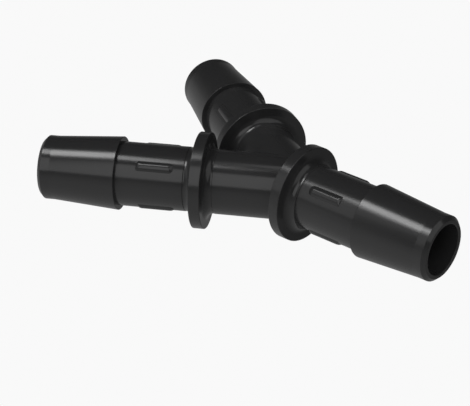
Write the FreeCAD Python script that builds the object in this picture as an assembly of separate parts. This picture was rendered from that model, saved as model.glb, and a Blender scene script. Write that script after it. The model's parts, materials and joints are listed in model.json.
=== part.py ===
import math
import os

import FreeCAD
import Part

# A barbed Y connector for 1/2 in. hose, moulded in one piece of black plastic.
# One inlet and two outlets meet in a hollow junction. Each arm carries, from the
# junction outwards, a stop collar, a plain stem with four low grip ribs, and a barb.
# The junction centre is the origin, the three axes lie in z = 0, and the inlet runs along +X.
# The moulding is divided across its arms, so every named section is a closed solid
# that meets the next one face to face.

# Driving dimensions, in millimetres and degrees.
HOSE_DIAMETER = 12.7
BORE_DIAMETER = 9.8
OUTLET_SPREAD = 60.0

INLET_LENGTH = 35.0
OUTLET_LENGTH = 49.6
LEG_LENGTH = 33.2

COLLAR_DIAMETER = 19.0
COLLAR_THICKNESS = 2.25
COLLAR_EDGE = 0.15
COLLAR_FILLET = 1.7

BARB_LENGTH = 15.7
BARB_DIAMETER = 14.6
BARB_EDGE = 0.1
TIP_LAND = 2.5
TIP_CHAMFER = 0.7
MOUTH_EDGE = 0.2

RIB_COUNT = 4
RIB_START = 6.15
RIB_LENGTH = 7.2
RIB_WIDTH = 1.8
RIB_HEIGHT = 0.37
RIB_CROWN_RADIUS = 1.2
RIB_NEAR_CORNER = 0.7
RIB_FAR_CORNER = 0.35
FIRST_RIB_ANGLE = 45.0

# Worked out from the driving dimensions.
TUBE_RADIUS = HOSE_DIAMETER / 2
BORE_RADIUS = BORE_DIAMETER / 2
COLLAR_RADIUS = COLLAR_DIAMETER / 2
BARB_RADIUS = BARB_DIAMETER / 2
ARM_LENGTHS = {"inlet": INLET_LENGTH, "left_outlet": OUTLET_LENGTH, "right_outlet": OUTLET_LENGTH}
ARM_ANGLES = {
    "inlet": 0.0,
    "left_outlet": 180.0 + OUTLET_SPREAD / 2,
    "right_outlet": 180.0 - OUTLET_SPREAD / 2,
}

ORIGIN = FreeCAD.Vector(0, 0, 0)
ARM_AXIS = FreeCAD.Vector(1, 0, 0)
UP = FreeCAD.Vector(0, 0, 1)
SMALL = 1e-6


def along_arm(distance, height):
    """A point of an arm's lengthwise section: distance from the junction, height off the axis."""
    return FreeCAD.Vector(distance, 0, height)


def in_plan(distance, side):
    """A point seen square on to an arm's axis."""
    return FreeCAD.Vector(distance, side, 0)


def rounded_face(corners, place):
    """A flat face from (u, v, corner radius) corners, with tangent arcs at the rounded ones."""
    points = [place(u, v) for u, v, radius in corners]
    arcs = []
    for index, corner in enumerate(corners):
        here = points[index]
        radius = corner[2]
        if radius == 0:
            arcs.append((here, here, here))
            continue
        back = (points[index - 1] - here).normalize()
        ahead = (points[(index + 1) % len(points)] - here).normalize()
        half_angle = back.getAngle(ahead) / 2
        setback = radius / math.tan(half_angle)
        crown = radius / math.sin(half_angle) - radius
        middle = here + (back + ahead).normalize() * crown
        arcs.append((here + back * setback, middle, here + ahead * setback))
    edges = []
    for index, (start, middle, end) in enumerate(arcs):
        last_end = arcs[index - 1][2]
        if last_end.distanceToPoint(start) > SMALL:
            edges.append(Part.LineSegment(last_end, start).toShape())
        if start.distanceToPoint(end) > SMALL:
            edges.append(Part.Arc(start, middle, end).toShape())
    return Part.Face(Part.Wire(edges))


def turned(corners):
    """A solid of revolution about the arm's axis."""
    return rounded_face(corners, along_arm).revolve(ORIGIN, ARM_AXIS, 360)


def collar_face(arm):
    """Distance from the junction to the collar's inner face."""
    return ARM_LENGTHS[arm] - LEG_LENGTH


def barb_back(arm):
    """Distance from the junction to the barb's square back."""
    return ARM_LENGTHS[arm] - BARB_LENGTH


def stem_start(arm):
    """Distance from the junction to where the collar's outer fillet has run into the stem."""
    return collar_face(arm) + COLLAR_THICKNESS + COLLAR_FILLET


def make_flare(arm):
    """The fillet that spreads the junction's tube onto the collar's inner face."""
    face = collar_face(arm)
    return turned([
        (face - COLLAR_FILLET, BORE_RADIUS, 0),
        (face, BORE_RADIUS, 0),
        (face, TUBE_RADIUS + COLLAR_FILLET, 0),
        (face, TUBE_RADIUS, COLLAR_FILLET),
        (face - COLLAR_FILLET, TUBE_RADIUS, 0),
    ])


def make_junction():
    """The three equal tubes that meet at the origin, flared onto the collars and bored through."""
    tubes = []
    bores = []
    for arm, angle in ARM_ANGLES.items():
        turn = arm_matrix(angle)
        tube = Part.makeCylinder(TUBE_RADIUS, collar_face(arm), ORIGIN, ARM_AXIS)
        tubes.append(tube.transformed(turn))
        tubes.append(make_flare(arm).transformed(turn))
        bore = Part.makeCylinder(BORE_RADIUS, OUTLET_LENGTH, ORIGIN, ARM_AXIS)
        bores.append(bore.transformed(turn))
    body = tubes[0].multiFuse(tubes[1:])
    passage = bores[0].multiFuse(bores[1:])
    return body.cut(passage).removeSplitter()


def make_collar(arm):
    """The disc that stops the hose, with the fillet that runs out into the stem."""
    face = collar_face(arm)
    outer_face = face + COLLAR_THICKNESS
    return turned([
        (face, BORE_RADIUS, 0),
        (stem_start(arm), BORE_RADIUS, 0),
        (stem_start(arm), TUBE_RADIUS, 0),
        (outer_face, TUBE_RADIUS, COLLAR_FILLET),
        (outer_face, COLLAR_RADIUS, COLLAR_EDGE),
        (face, COLLAR_RADIUS, COLLAR_EDGE),
    ])


def make_stem(arm):
    """The plain tube between the collar's fillet and the back of the barb."""
    return turned([
        (stem_start(arm), BORE_RADIUS, 0),
        (barb_back(arm), BORE_RADIUS, 0),
        (barb_back(arm), TUBE_RADIUS, 0),
        (stem_start(arm), TUBE_RADIUS, 0),
    ])


def make_barb(arm):
    """The barb: a square back, a long taper, and a short land that ends in a chamfered tip."""
    tip = ARM_LENGTHS[arm]
    return turned([
        (barb_back(arm), BORE_RADIUS, 0),
        (tip, BORE_RADIUS, MOUTH_EDGE),
        (tip, TUBE_RADIUS - TIP_CHAMFER, 0),
        (tip - TIP_CHAMFER, TUBE_RADIUS, 0),
        (tip - TIP_LAND, TUBE_RADIUS, 0),
        (barb_back(arm), BARB_RADIUS, BARB_EDGE),
    ])


def make_rib(arm, index):
    """A low round-topped rib that lies along the stem. Its end nearer the collar is the rounder."""
    near = collar_face(arm) + RIB_START
    far = near + RIB_LENGTH
    plan = rounded_face([
        (near, -RIB_WIDTH / 2, RIB_NEAR_CORNER),
        (far, -RIB_WIDTH / 2, RIB_FAR_CORNER),
        (far, RIB_WIDTH / 2, RIB_FAR_CORNER),
        (near, RIB_WIDTH / 2, RIB_NEAR_CORNER),
    ], in_plan)
    post = plan.extrude(UP * (TUBE_RADIUS + 2 * RIB_HEIGHT))
    crown_centre = UP * (TUBE_RADIUS + RIB_HEIGHT - RIB_CROWN_RADIUS)
    crown = Part.makeCylinder(RIB_CROWN_RADIUS, ARM_LENGTHS[arm], crown_centre, ARM_AXIS)
    seat = Part.makeCylinder(TUBE_RADIUS, ARM_LENGTHS[arm], ORIGIN, ARM_AXIS)
    rib = post.common(crown).cut(seat)
    rib.rotate(ORIGIN, ARM_AXIS, FIRST_RIB_ANGLE + index * 360.0 / RIB_COUNT)
    return rib


def arm_matrix(angle):
    """The turn about +Z that carries a part from the X axis to its arm."""
    return FreeCAD.Placement(ORIGIN, FreeCAD.Rotation(UP, angle)).toMatrix()


def save(node, shape):
    """Writes one node as a STEP file, after checking that it is one sound solid."""
    if not shape.isValid() or len(shape.Solids) != 1:
        raise ValueError(node + " isn't one valid solid")
    shape.Solids[0].exportStep(os.path.join("parts", node + ".step"))
    print(node, round(shape.Volume, 2), "mm3")


def save_on_arm(arm, piece, shape):
    """Turns a piece made along X onto its arm and saves it under the arm's name."""
    save(arm + "_" + piece, shape.transformed(arm_matrix(ARM_ANGLES[arm])))


def main():
    os.makedirs("parts", exist_ok=True)
    save("junction", make_junction())
    for arm in ARM_ANGLES:
        save_on_arm(arm, "collar", make_collar(arm))
        save_on_arm(arm, "stem", make_stem(arm))
        save_on_arm(arm, "barb", make_barb(arm))
        for index in range(RIB_COUNT):
            save_on_arm(arm, "grip_rib_" + str(index + 1), make_rib(arm, index))


main()
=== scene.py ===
import json
import math

import bpy
from mathutils import Matrix, Vector


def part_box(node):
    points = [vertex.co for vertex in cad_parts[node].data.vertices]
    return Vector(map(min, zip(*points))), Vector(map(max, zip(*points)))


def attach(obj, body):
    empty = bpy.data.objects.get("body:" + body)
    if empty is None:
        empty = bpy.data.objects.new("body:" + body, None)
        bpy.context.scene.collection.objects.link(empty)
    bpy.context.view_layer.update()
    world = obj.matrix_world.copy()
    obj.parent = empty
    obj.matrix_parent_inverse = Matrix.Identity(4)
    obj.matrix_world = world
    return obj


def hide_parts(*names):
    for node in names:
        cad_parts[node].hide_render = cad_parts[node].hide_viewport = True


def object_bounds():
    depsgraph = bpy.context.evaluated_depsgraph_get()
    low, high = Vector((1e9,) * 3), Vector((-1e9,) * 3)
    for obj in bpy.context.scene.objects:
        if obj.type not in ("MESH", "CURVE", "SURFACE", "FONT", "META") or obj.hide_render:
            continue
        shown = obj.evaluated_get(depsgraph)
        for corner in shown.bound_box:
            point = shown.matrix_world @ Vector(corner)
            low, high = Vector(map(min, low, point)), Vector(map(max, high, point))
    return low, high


# A moulded barbed Y connector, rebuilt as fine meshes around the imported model, on a pale floor.
# An arm's sections are made along +X, as the inlet lies, and turned about Z onto their own arm.

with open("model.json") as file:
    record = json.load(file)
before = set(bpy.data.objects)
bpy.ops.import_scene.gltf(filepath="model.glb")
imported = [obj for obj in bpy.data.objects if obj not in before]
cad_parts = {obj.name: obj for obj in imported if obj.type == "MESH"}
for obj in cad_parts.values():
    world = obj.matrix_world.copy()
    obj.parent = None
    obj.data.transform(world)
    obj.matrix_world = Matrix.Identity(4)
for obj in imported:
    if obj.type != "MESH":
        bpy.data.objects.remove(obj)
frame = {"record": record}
cad_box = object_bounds()

MM = 0.001
BODY = "root"
ARMS = ("inlet", "left_outlet", "right_outlet")

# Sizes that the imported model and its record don't state, in millimetres and degrees.
COLLAR_FILLET = 1.7
COLLAR_EDGE = 0.15
BARB_EDGE = 0.1
TIP_CHAMFER = 0.7
TIP_EDGE = 0.1
MOUTH_EDGE = 0.2
RIB_WIDTH = 1.8
RIB_HEIGHT = 0.37
RIB_CROWN_RADIUS = 1.2
RIB_NEAR_CORNER = 0.7
RIB_FAR_CORNER = 0.35
RIB_FILLET = 0.26
RIB_SINK = 0.05
RIB_ANGLES = (45.0, 135.0, 225.0, 315.0)

# A collar's fillets end a little below the tube's surface, and the tube's end is rounded there.
STEP_HEIGHT = 0.06
STEP_EDGE = 0.15

# How finely curves are divided, and to how many decimals of a millimetre points are joined.
TURN_STEPS = 192
ARC_STEPS = 8
FLARE_STEPS = 16
TUBE_STEPS = 8
RIB_CORNER_STEPS = 6
RIB_FILLET_STEPS = 4
RIB_CROWN_STEPS = 8
SEAM_HALVINGS = 50
WELD_DIGITS = 3

# The plastic: its colour and gloss, how far faint clouding moves them, and its mould grain. The
# scales are per metre, and the grain's height is in millimetres.
PLASTIC_COLOUR = (0.0369, 0.0369, 0.0375)
COLOUR_SPREAD = 0.07
PLASTIC_ROUGHNESS = 0.175
ROUGHNESS_SPREAD = 0.03
PLASTIC_IOR = 1.5
CLOUD_SCALE = 120.0
CLOUD_DETAIL = 3.0
GRAIN_SCALE = 1500.0
GRAIN_DETAIL = 4.0
GRAIN_STRENGTH = 0.05
GRAIN_HEIGHT = 0.02

# The camera's angles in degrees, and its distances, lens and sideways shifts in millimetres.
CAMERA_AZIMUTH = 41.02
CAMERA_ELEVATION = 30.17
CAMERA_ROLL = -0.44
CAMERA_DISTANCE = 277.1
CAMERA_LENS = 109.6
CAMERA_ASIDE = 11.0
CAMERA_ABOVE = 2.9
CAMERA_NEAREST = 10.0
CAMERA_FURTHEST = 50000.0

# Each soft box: its name, its azimuth and elevation in degrees, the width and height of the
# angle that it fills, and its brightness. They all stand LIGHT_DISTANCE metres from the part.
LIGHT_DISTANCE = 1.0
SOFT_BOXES = (
    ("key_light", -138.5, 67.6, 15.0, 19.0, 3.8),
    ("key_spill", -140.5, 60.2, 23.0, 15.5, 2.3),
    ("front_light", -73.5, 36.5, 37.0, 44.0, 0.83),
    ("left_light", -127.0, 38.0, 20.0, 48.0, 0.39),
    ("left_fill", -143.0, 24.0, 67.0, 53.0, 0.07),
    ("right_light", 9.5, 44.5, 59.0, 50.0, 0.5),
    ("top_light", 146.0, 82.0, 10.0, 16.0, 0.85),
)

# The dim light from all round: (height, brightness), with height 0 straight down and 1 straight
# up. It is scaled by azimuth, from the side away from BRIGHT_AZIMUTH to the side towards it.
WORLD_LEVELS = ((0.0, 0.37), (0.33, 0.29), (0.475, 0.2), (0.525, 0.12), (0.65, 0.014), (1.0, 0.014))
BRIGHT_AZIMUTH = -120.0
DIM_SIDE = 0.34
BRIGHT_SIDE = 1.66

# The floor: a flat disc that curves up into a round wall and closes overhead, in metres.
FLOOR_RADIUS = 2.0
FLOOR_BEND = 1.5
WALL_HEIGHT = 4.5
ROOF_HEIGHT = 6.0
FLOOR_BEND_STEPS = 12
FLOOR_TURN_STEPS = 96
FLOOR_BRIGHTNESS = 0.947

mounts = {mount["name"]: mount for mount in frame["record"]["mounts"]}


def low_high(node, axis=0):
    """How far a node of the inlet reaches along one axis, in millimetres."""
    low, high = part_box(node)
    return low[axis] / MM, high[axis] / MM


def arm_angle(arm):
    """The direction of an arm in plan, in radians anticlockwise from +X."""
    x, y, z = mounts[arm + "_hose_barb"]["axis"]
    return math.atan2(y, x)


def collar_front(arm):
    """Distance from the junction's centre to the collar's outer face, in millimetres."""
    return Vector(mounts[arm + "_hose_barb"]["pos_m"]).length / MM


TUBE_RADIUS = mounts["inlet_hose_barb"]["dims"]["r_mm"]
BORE_RADIUS = mounts["inlet_bore"]["dims"]["r_mm"]
TIP_LAND = TIP_CHAMFER + mounts["inlet_tip_land"]["dims"]["length_mm"]
COLLAR_RADIUS = low_high("inlet_collar", 2)[1]
BARB_RADIUS = low_high("inlet_barb", 2)[1]
COLLAR_START, STEM_START = low_high("inlet_collar")
STEM_END = low_high("inlet_stem")[1]
TIP = low_high("inlet_barb")[1]
RIB_START, RIB_END = low_high("inlet_grip_rib_1")
COLLAR_THICKNESS = collar_front("inlet") - COLLAR_START
FLARE_LENGTH = COLLAR_FILLET * math.pi / 2


class Skin:
    """Collects faces with a stated normal at each corner, and joins corners that share a place."""

    def __init__(self):
        self.points = []
        self.faces = []
        self.normals = []
        self.places = {}

    def point(self, place):
        """The number of the point at a place. It is a new point unless one lies there already."""
        key = tuple(round(value, WELD_DIGITS) + 0.0 for value in place)
        if key not in self.places:
            self.places[key] = len(self.points)
            self.points.append(place)
        return self.places[key]

    def face(self, corners):
        """Adds a face from (place, normal) corners in millimetres, leaving out repeated corners."""
        indices = []
        normals = []
        for place, normal in corners:
            index = self.point(place)
            if index not in indices:
                indices.append(index)
                normals.append(normal)
        if len(indices) > 2:
            self.faces.append(indices)
            self.normals.extend(normals)

    def sheet(self, rows, closed=True):
        """Joins rows of (place, normal) corners into quads. A closed row's end meets its start."""
        for row, after in zip(rows, rows[1:]):
            count = len(row) if closed else len(row) - 1
            for index in range(count):
                ahead = (index + 1) % len(row)
                self.face([row[index], row[ahead], after[ahead], after[index]])

    def piece(self, name, angle, *nodes):
        """Turns the skin onto its arm as an object that stands for the CAD nodes."""
        mesh = bpy.data.meshes.new(name)
        places = [place * MM for place in self.points]
        mesh.from_pydata(places, [], self.faces)
        mesh.shade_smooth()
        mesh.normals_split_custom_set([normal.normalized() for normal in self.normals])
        mesh.transform(Matrix.Rotation(angle, 4, "Z"))
        mesh.validate()
        mesh.materials.append(plastic)
        made = bpy.data.objects.new(name, mesh)
        bpy.context.scene.collection.objects.link(made)
        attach(made, BODY)
        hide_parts(*nodes)


def rounded_outline(corners, steps=ARC_STEPS):
    """Samples a closed anticlockwise outline of (u, v, corner radius) as (u, v, normal u, normal v)."""
    samples = []
    count = len(corners)
    for index in range(count):
        here = Vector(corners[index][:2])
        radius = corners[index][2]
        came = (here - Vector(corners[index - 1][:2])).normalized()
        goes = (Vector(corners[(index + 1) % count][:2]) - here).normalized()
        turn = math.atan2(came.cross(goes), came.dot(goes))
        side = math.copysign(1.0, turn)
        setback = radius * math.tan(abs(turn) / 2)
        start = here - came * setback
        first_normal = Vector((came.y, -came.x))
        centre = start - side * radius * first_normal
        pieces = steps if radius else 1
        for step in range(pieces + 1):
            bent = Matrix.Rotation(turn * step / pieces, 2) @ first_normal
            place = centre + side * radius * bent
            samples.append((place.x, place.y, bent.x, bent.y))
    return samples


def on_circle(distance, radius, normal_along, normal_out, angle):
    """A corner at an angle round the arm's axis, counted from straight up towards +Y."""
    across = math.sin(angle)
    up = math.cos(angle)
    place = Vector((distance, radius * across, radius * up))
    normal = Vector((normal_along, normal_out * across, normal_out * up))
    return place, normal


def turned(corners):
    """A solid of revolution about +X from an outline of (distance, radius, corner radius)."""
    samples = rounded_outline(corners)
    angles = [2 * math.pi * step / TURN_STEPS for step in range(TURN_STEPS)]
    rows = [[on_circle(*sample, angle) for angle in angles] for sample in samples]
    skin = Skin()
    skin.sheet(rows + rows[:1])
    return skin


def collar_skin():
    """The inlet's collar: the disc that stops the hose, and the fillet that runs out to the stem."""
    face = COLLAR_START
    front = COLLAR_START + COLLAR_THICKNESS
    return turned([
        (face, BORE_RADIUS, 0),
        (STEM_START, BORE_RADIUS, 0),
        (STEM_START, TUBE_RADIUS - STEP_HEIGHT, 0),
        (front, TUBE_RADIUS - STEP_HEIGHT, COLLAR_FILLET),
        (front, COLLAR_RADIUS, COLLAR_EDGE),
        (face, COLLAR_RADIUS, COLLAR_EDGE),
    ])


def stem_skin():
    """The inlet's stem: the plain tube, with its end by the collar rounded."""
    return turned([
        (STEM_START, BORE_RADIUS, 0),
        (STEM_END, BORE_RADIUS, 0),
        (STEM_END, TUBE_RADIUS, 0),
        (STEM_START, TUBE_RADIUS, STEP_EDGE),
    ])


def barb_skin():
    """The inlet's barb: a square back, a long taper, and a short land with a chamfered tip."""
    return turned([
        (STEM_END, BORE_RADIUS, 0),
        (TIP, BORE_RADIUS, MOUTH_EDGE),
        (TIP, TUBE_RADIUS - TIP_CHAMFER, TIP_EDGE),
        (TIP - TIP_CHAMFER, TUBE_RADIUS, TIP_EDGE),
        (TIP - TIP_LAND, TUBE_RADIUS, 0),
        (STEM_END, BARB_RADIUS, BARB_EDGE),
    ])


def rib_side():
    """The rib's half width at its foot, and (inset, height, lean) samples from there to its crown.

    They are worked out as if the stem were flat: a fillet at the foot, then the round crown.
    """
    crown = 1 / (1 / RIB_CROWN_RADIUS - 1 / (TUBE_RADIUS + RIB_HEIGHT))
    steepest = math.acos((crown - RIB_HEIGHT + RIB_FILLET) / (crown + RIB_FILLET))
    half = (crown + RIB_FILLET) * math.sin(steepest)
    samples = []
    for step in range(RIB_FILLET_STEPS):
        lean = steepest * step / RIB_FILLET_STEPS
        samples.append((RIB_FILLET * math.sin(lean), RIB_FILLET * (1 - math.cos(lean)), lean))
    for step in range(RIB_CROWN_STEPS + 1):
        lean = steepest * (1 - step / RIB_CROWN_STEPS)
        height = RIB_HEIGHT - crown * (1 - math.cos(lean))
        samples.append((half - crown * math.sin(lean), height, lean))
    return half, samples


def rib_skin(angle):
    """A low round-topped rib: rings from under the stem's surface up to a line along its crown."""
    half, side = rib_side()
    middle = (RIB_START + RIB_END) / 2
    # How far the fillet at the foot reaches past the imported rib's sides and ends.
    spread = half - RIB_WIDTH / 2
    reach = (RIB_END - RIB_START) / 2 + spread
    spine = reach - half
    outline = rounded_outline([
        (-reach, -half, RIB_NEAR_CORNER + spread),
        (reach, -half, RIB_FAR_CORNER + spread),
        (reach, half, RIB_FAR_CORNER + spread),
        (-reach, half, RIB_NEAR_CORNER + spread),
    ], RIB_CORNER_STEPS)
    along = Vector((1, 0, 0))
    rows = []
    for inset, height, lean in [(0.0, -RIB_SINK, 0.0)] + side:
        row = []
        for u, v, normal_u, normal_v in outline:
            ridge = Vector((max(-spine, min(spine, u)), 0))
            to_edge = Vector((u, v)) - ridge
            spot = ridge + to_edge * (1 - inset / half)
            turn = math.radians(angle) + spot.y / TUBE_RADIUS
            up = Vector((0, math.sin(turn), math.cos(turn)))
            sideways = Vector((0, math.cos(turn), -math.sin(turn)))
            slope = math.tan(lean) * half / to_edge.dot(Vector((normal_u, normal_v)))
            normal = up + (along * normal_u + sideways * normal_v) * slope
            row.append((along * (middle + spot.x) + up * (TUBE_RADIUS + height), normal))
        rows.append(row)
    skin = Skin()
    skin.sheet(rows)
    skin.face([(place, -normal) for place, normal in reversed(rows[0])])
    return skin


def gap_to_next(arm, side):
    """The angle in plan from an arm to its neighbour on the +Y (1) or -Y (-1) side of its axis."""
    turns = []
    for other in ARMS:
        if other != arm:
            turns.append((side * (arm_angle(other) - arm_angle(arm))) % (2 * math.pi))
    return min(turns)


def flare(arm, length):
    """A sample of a junction arm's outline, by length from where the tube starts to spread."""
    start = collar_front(arm) - COLLAR_THICKNESS - COLLAR_FILLET
    lean = max(length, 0.0) / COLLAR_FILLET
    along = start + min(length, 0.0) + COLLAR_FILLET * math.sin(lean)
    out = TUBE_RADIUS + COLLAR_FILLET * (1 - math.cos(lean))
    return along, out, -math.sin(lean), math.cos(lean)


def stepped_flare(arm):
    """An outlet's outline from the tube's rounded end, down its small step, and out to the collar."""
    start = flare(arm, 0.0)[0]
    deepest = math.acos(1 - STEP_HEIGHT / STEP_EDGE)
    samples = []
    for step in range(ARC_STEPS + 1):
        lean = deepest * step / ARC_STEPS
        along = start - STEP_EDGE * (math.sin(deepest) - math.sin(lean))
        out = TUBE_RADIUS - STEP_EDGE * (1 - math.cos(lean))
        samples.append((along, out, math.sin(lean), math.cos(lean)))
    for step in range(FLARE_STEPS + 1):
        along, out, normal_along, normal_out = flare(arm, FLARE_LENGTH * step / FLARE_STEPS)
        samples.append((along, out - STEP_HEIGHT, normal_along, normal_out))
    return samples


def clearance(length, angle):
    """Above zero where a point of the inlet's outline lies outside the outlets' tubes."""
    along, out = flare("inlet", length)[:2]
    gap = gap_to_next("inlet", 1)
    across = along * math.sin(gap) - out * abs(math.sin(angle)) * math.cos(gap)
    return (out * math.cos(angle)) ** 2 + across ** 2 - TUBE_RADIUS ** 2


def inlet_seam(angle):
    """Where the inlet's outline comes out of the outlets' tubes, as a length along it."""
    low = -flare("inlet", 0.0)[0]
    high = FLARE_LENGTH
    for step in range(SEAM_HALVINGS):
        middle = (low + high) / 2
        if clearance(middle, angle) < 0:
            low = middle
        else:
            high = middle
    return (low + high) / 2


def seam_columns(arm, side):
    """(angle, length) where an arm's outer skin starts, from its top to its bottom on one side."""
    count = TURN_STEPS // 2
    start = flare(arm, 0.0)[0]
    gap = gap_to_next(arm, side)
    columns = []
    for step in range(count + 1):
        angle = math.pi * step / count
        if arm == "inlet":
            length = inlet_seam(angle)
        elif gap < math.pi / 2:
            length = TUBE_RADIUS * abs(math.sin(angle)) / math.tan(gap / 2) - start
        else:
            on_inlet = flare("inlet", inlet_seam(angle))
            place = on_circle(*on_inlet, -side * angle)[0]
            place = Matrix.Rotation(-arm_angle(arm), 3, "Z") @ place
            angle = abs(math.atan2(place.y, place.z))
            length = place.x - start
        columns.append((side * angle, length))
    return columns


def outer_columns(arm):
    """Columns of (place, normal) corners along an arm's outer skin, from its seam to the collar."""
    far = seam_columns(arm, 1)
    near = seam_columns(arm, -1)
    columns = []
    for angle, length in far + near[-2:0:-1]:
        if arm == "inlet":
            steps = TUBE_STEPS + FLARE_STEPS
            lengths = [length + (FLARE_LENGTH - length) * step / steps for step in range(steps + 1)]
            outline = [flare(arm, value) for value in lengths]
        else:
            lengths = [length * (1 - step / TUBE_STEPS) for step in range(TUBE_STEPS)]
            outline = [flare(arm, value) for value in lengths] + stepped_flare(arm)
        columns.append([on_circle(*sample, angle) for sample in outline])
    return columns


def bore_columns(arm):
    """Columns of (place, normal) corners along an arm's bore, from its seam to the collar."""
    end = collar_front(arm) - COLLAR_THICKNESS
    columns = []
    for index in range(TURN_STEPS):
        angle = 2 * math.pi * index / TURN_STEPS
        side = 1 if angle < math.pi else -1
        reach = BORE_RADIUS * abs(math.sin(angle)) / math.tan(gap_to_next(arm, side) / 2)
        places = [reach + (end - reach) * step / TUBE_STEPS for step in range(TUBE_STEPS + 1)]
        columns.append([on_circle(along, BORE_RADIUS, 0, -1, angle) for along in places])
    return columns


def junction_skin():
    """Three equal tubes that meet at the origin, flared onto the collars and bored through."""
    skin = Skin()
    facing = Vector((1, 0, 0))
    for arm in ARMS:
        turn = Matrix.Rotation(arm_angle(arm), 3, "Z")
        outer = outer_columns(arm)
        bore = bore_columns(arm)
        rim = [[(out[-1][0], facing), (inside[-1][0], facing)] for out, inside in zip(outer, bore)]
        for columns, flipped in ((outer, False), (rim, False), (bore, True)):
            rows = []
            for column in columns:
                row = [(turn @ place, turn @ normal) for place, normal in column]
                rows.append(row[::-1] if flipped else row)
            skin.sheet(rows + rows[:1], closed=False)
    return skin


def plastic_material():
    """Black semi-gloss plastic: faint clouding, fine mould grain, and a slightly uneven gloss."""
    material = bpy.data.materials.new("black_moulded_plastic")
    material.use_nodes = True
    tree = material.node_tree
    link = tree.links.new
    shader = tree.nodes["Principled BSDF"]
    shader.inputs["IOR"].default_value = PLASTIC_IOR
    place = tree.nodes.new("ShaderNodeTexCoord")

    cloud = tree.nodes.new("ShaderNodeTexNoise")
    cloud.inputs["Scale"].default_value = CLOUD_SCALE
    cloud.inputs["Detail"].default_value = CLOUD_DETAIL
    link(place.outputs["Object"], cloud.inputs["Vector"])
    tint = tree.nodes.new("ShaderNodeMix")
    tint.data_type = "RGBA"
    tint.inputs["A"].default_value = (*[value * (1 - COLOUR_SPREAD) for value in PLASTIC_COLOUR], 1)
    tint.inputs["B"].default_value = (*[value * (1 + COLOUR_SPREAD) for value in PLASTIC_COLOUR], 1)
    link(cloud.outputs["Fac"], tint.inputs["Factor"])
    link(tint.outputs["Result"], shader.inputs["Base Color"])

    gloss = tree.nodes.new("ShaderNodeMapRange")
    gloss.inputs["To Min"].default_value = PLASTIC_ROUGHNESS - ROUGHNESS_SPREAD
    gloss.inputs["To Max"].default_value = PLASTIC_ROUGHNESS + ROUGHNESS_SPREAD
    link(cloud.outputs["Fac"], gloss.inputs["Value"])
    link(gloss.outputs["Result"], shader.inputs["Roughness"])

    grain = tree.nodes.new("ShaderNodeTexNoise")
    grain.inputs["Scale"].default_value = GRAIN_SCALE
    grain.inputs["Detail"].default_value = GRAIN_DETAIL
    link(place.outputs["Object"], grain.inputs["Vector"])
    bump = tree.nodes.new("ShaderNodeBump")
    bump.inputs["Strength"].default_value = GRAIN_STRENGTH
    bump.inputs["Distance"].default_value = GRAIN_HEIGHT * MM
    link(grain.outputs["Fac"], bump.inputs["Height"])
    link(bump.outputs["Normal"], shader.inputs["Normal"])
    return material


def towards(azimuth, elevation):
    """The unit vector at an angle in plan from +X and an angle above the floor, in degrees."""
    turn = math.radians(azimuth)
    rise = math.radians(elevation)
    return Vector((math.cos(turn) * math.cos(rise), math.sin(turn) * math.cos(rise), math.sin(rise)))


def soft_box(name, azimuth, elevation, width, height, brightness):
    """A rectangular light that faces the part and fills an angle of width by height, in degrees."""
    data = bpy.data.lights.new(name, "AREA")
    data.shape = "RECTANGLE"
    data.size = 2 * LIGHT_DISTANCE * math.tan(math.radians(width) / 2)
    data.size_y = 2 * LIGHT_DISTANCE * math.tan(math.radians(height) / 2)
    data.energy = brightness * 4 * data.size * data.size_y
    light = bpy.data.objects.new(name, data)
    out = towards(azimuth, elevation)
    light.location = out * LIGHT_DISTANCE
    light.rotation_euler = out.to_track_quat("Z", "Y").to_euler()
    light.visible_camera = False
    bpy.context.scene.collection.objects.link(light)


def make_floor():
    """The pale floor and its wall. They give out an even light that only the camera sees."""
    lowest = cad_box[0][2]
    rings = [(0.0, 0.0), (FLOOR_RADIUS, 0.0)]
    for step in range(1, FLOOR_BEND_STEPS + 1):
        bend = math.pi / 2 * step / FLOOR_BEND_STEPS
        reach = FLOOR_RADIUS + FLOOR_BEND * math.sin(bend)
        rings.append((reach, FLOOR_BEND * (1 - math.cos(bend))))
    rings.append((FLOOR_RADIUS + FLOOR_BEND, WALL_HEIGHT))
    rings.append((0.0, ROOF_HEIGHT))
    turns = [2 * math.pi * step / FLOOR_TURN_STEPS for step in range(FLOOR_TURN_STEPS)]
    up = Vector((0, 0, 1))
    rows = []
    for radius, height in rings:
        row = []
        for turn in turns:
            place = Vector((radius * math.cos(turn), radius * math.sin(turn), lowest + height))
            row.append((place, up))
        rows.append(row)
    skin = Skin()
    skin.sheet(rows)
    mesh = bpy.data.meshes.new("floor")
    mesh.from_pydata(skin.points, [], skin.faces)
    mesh.shade_smooth()
    floor = bpy.data.objects.new("floor", mesh)
    material = bpy.data.materials.new("pale_floor")
    material.use_nodes = True
    shader = material.node_tree.nodes["Principled BSDF"]
    shader.inputs["Base Color"].default_value = (0, 0, 0, 1)
    shader.inputs["Specular IOR Level"].default_value = 0.0
    shader.inputs["Emission Color"].default_value = (*[FLOOR_BRIGHTNESS] * 3, 1)
    shader.inputs["Emission Strength"].default_value = 1.0
    mesh.materials.append(material)
    bpy.context.scene.collection.objects.link(floor)
    floor.visible_diffuse = False
    floor.visible_glossy = False
    floor.visible_shadow = False
    floor.visible_transmission = False


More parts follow.
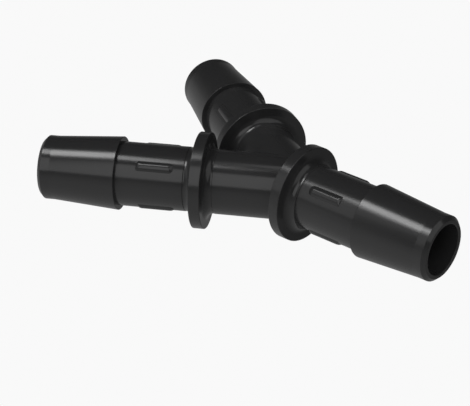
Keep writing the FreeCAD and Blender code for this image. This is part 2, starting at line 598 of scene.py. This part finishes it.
def make_world():
    """Dim light from all round: a grey ground, brighter towards one side, under a dark sky."""
    world = bpy.data.worlds.new("studio")
    world.use_nodes = True
    tree = world.node_tree
    link = tree.links.new
    background = tree.nodes["Background"]
    place = tree.nodes.new("ShaderNodeTexCoord")
    parts = tree.nodes.new("ShaderNodeSeparateXYZ")
    link(place.outputs["Generated"], parts.inputs["Vector"])
    height = tree.nodes.new("ShaderNodeMapRange")
    height.inputs["From Min"].default_value = -1.0
    link(parts.outputs["Z"], height.inputs["Value"])
    ramp = tree.nodes.new("ShaderNodeValToRGB")
    stops = ramp.color_ramp.elements
    while len(stops) < len(WORLD_LEVELS):
        stops.new(0.5)
    for stop, (where, level) in zip(stops, WORLD_LEVELS):
        stop.position = where
        stop.color = (level, level, level, 1)
    link(height.outputs["Result"], ramp.inputs["Fac"])
    side = tree.nodes.new("ShaderNodeVectorMath")
    side.operation = "DOT_PRODUCT"
    side.inputs[1].default_value = towards(BRIGHT_AZIMUTH, 0.0)
    link(place.outputs["Generated"], side.inputs[0])
    scale = tree.nodes.new("ShaderNodeMapRange")
    scale.inputs["From Min"].default_value = -1.0
    scale.inputs["To Min"].default_value = DIM_SIDE
    scale.inputs["To Max"].default_value = BRIGHT_SIDE
    link(side.outputs["Value"], scale.inputs["Value"])
    link(ramp.outputs["Color"], background.inputs["Color"])
    link(scale.outputs["Result"], background.inputs["Strength"])
    bpy.context.scene.world = world


def make_camera():
    """The camera, which looks down at the part from between the inlet and the left outlet."""
    turn = math.radians(CAMERA_AZIMUTH)
    rise = math.radians(CAMERA_ELEVATION)
    back = Vector((
        math.sin(turn) * math.cos(rise),
        -math.cos(turn) * math.cos(rise),
        math.sin(rise),
    ))
    right = Vector((math.cos(turn), math.sin(turn), 0))
    up = back.cross(right)
    roll = Matrix.Rotation(math.radians(CAMERA_ROLL), 3, back)
    right = roll @ right
    up = roll @ up
    place = back * CAMERA_DISTANCE - right * CAMERA_ASIDE - up * CAMERA_ABOVE
    data = bpy.data.cameras.new("camera")
    data.lens = CAMERA_LENS
    data.clip_start = CAMERA_NEAREST * MM
    data.clip_end = CAMERA_FURTHEST * MM
    camera = bpy.data.objects.new("camera", data)
    axes = Matrix((right, up, back)).transposed().to_4x4()
    camera.matrix_world = Matrix.Translation(place * MM) @ axes
    bpy.context.scene.collection.objects.link(camera)
    bpy.context.scene.camera = camera


plastic = plastic_material()
junction_skin().piece("junction_moulding", 0.0, "junction")
for arm in ARMS:
    shift = collar_front(arm) - collar_front("inlet")
    angle = arm_angle(arm)
    skins = [("collar", collar_skin()), ("stem", stem_skin()), ("barb", barb_skin())]
    for number, rib_angle in enumerate(RIB_ANGLES):
        skins.append(("grip_rib_" + str(number + 1), rib_skin(rib_angle)))
    for section, skin in skins:
        skin.points = [place + Vector((shift, 0, 0)) for place in skin.points]
        node = arm + "_" + section
        skin.piece(node + "_moulding", angle, node)

make_floor()
make_world()
for box in SOFT_BOXES:
    soft_box(*box)
make_camera()
bpy.context.scene.view_settings.view_transform = "Standard"
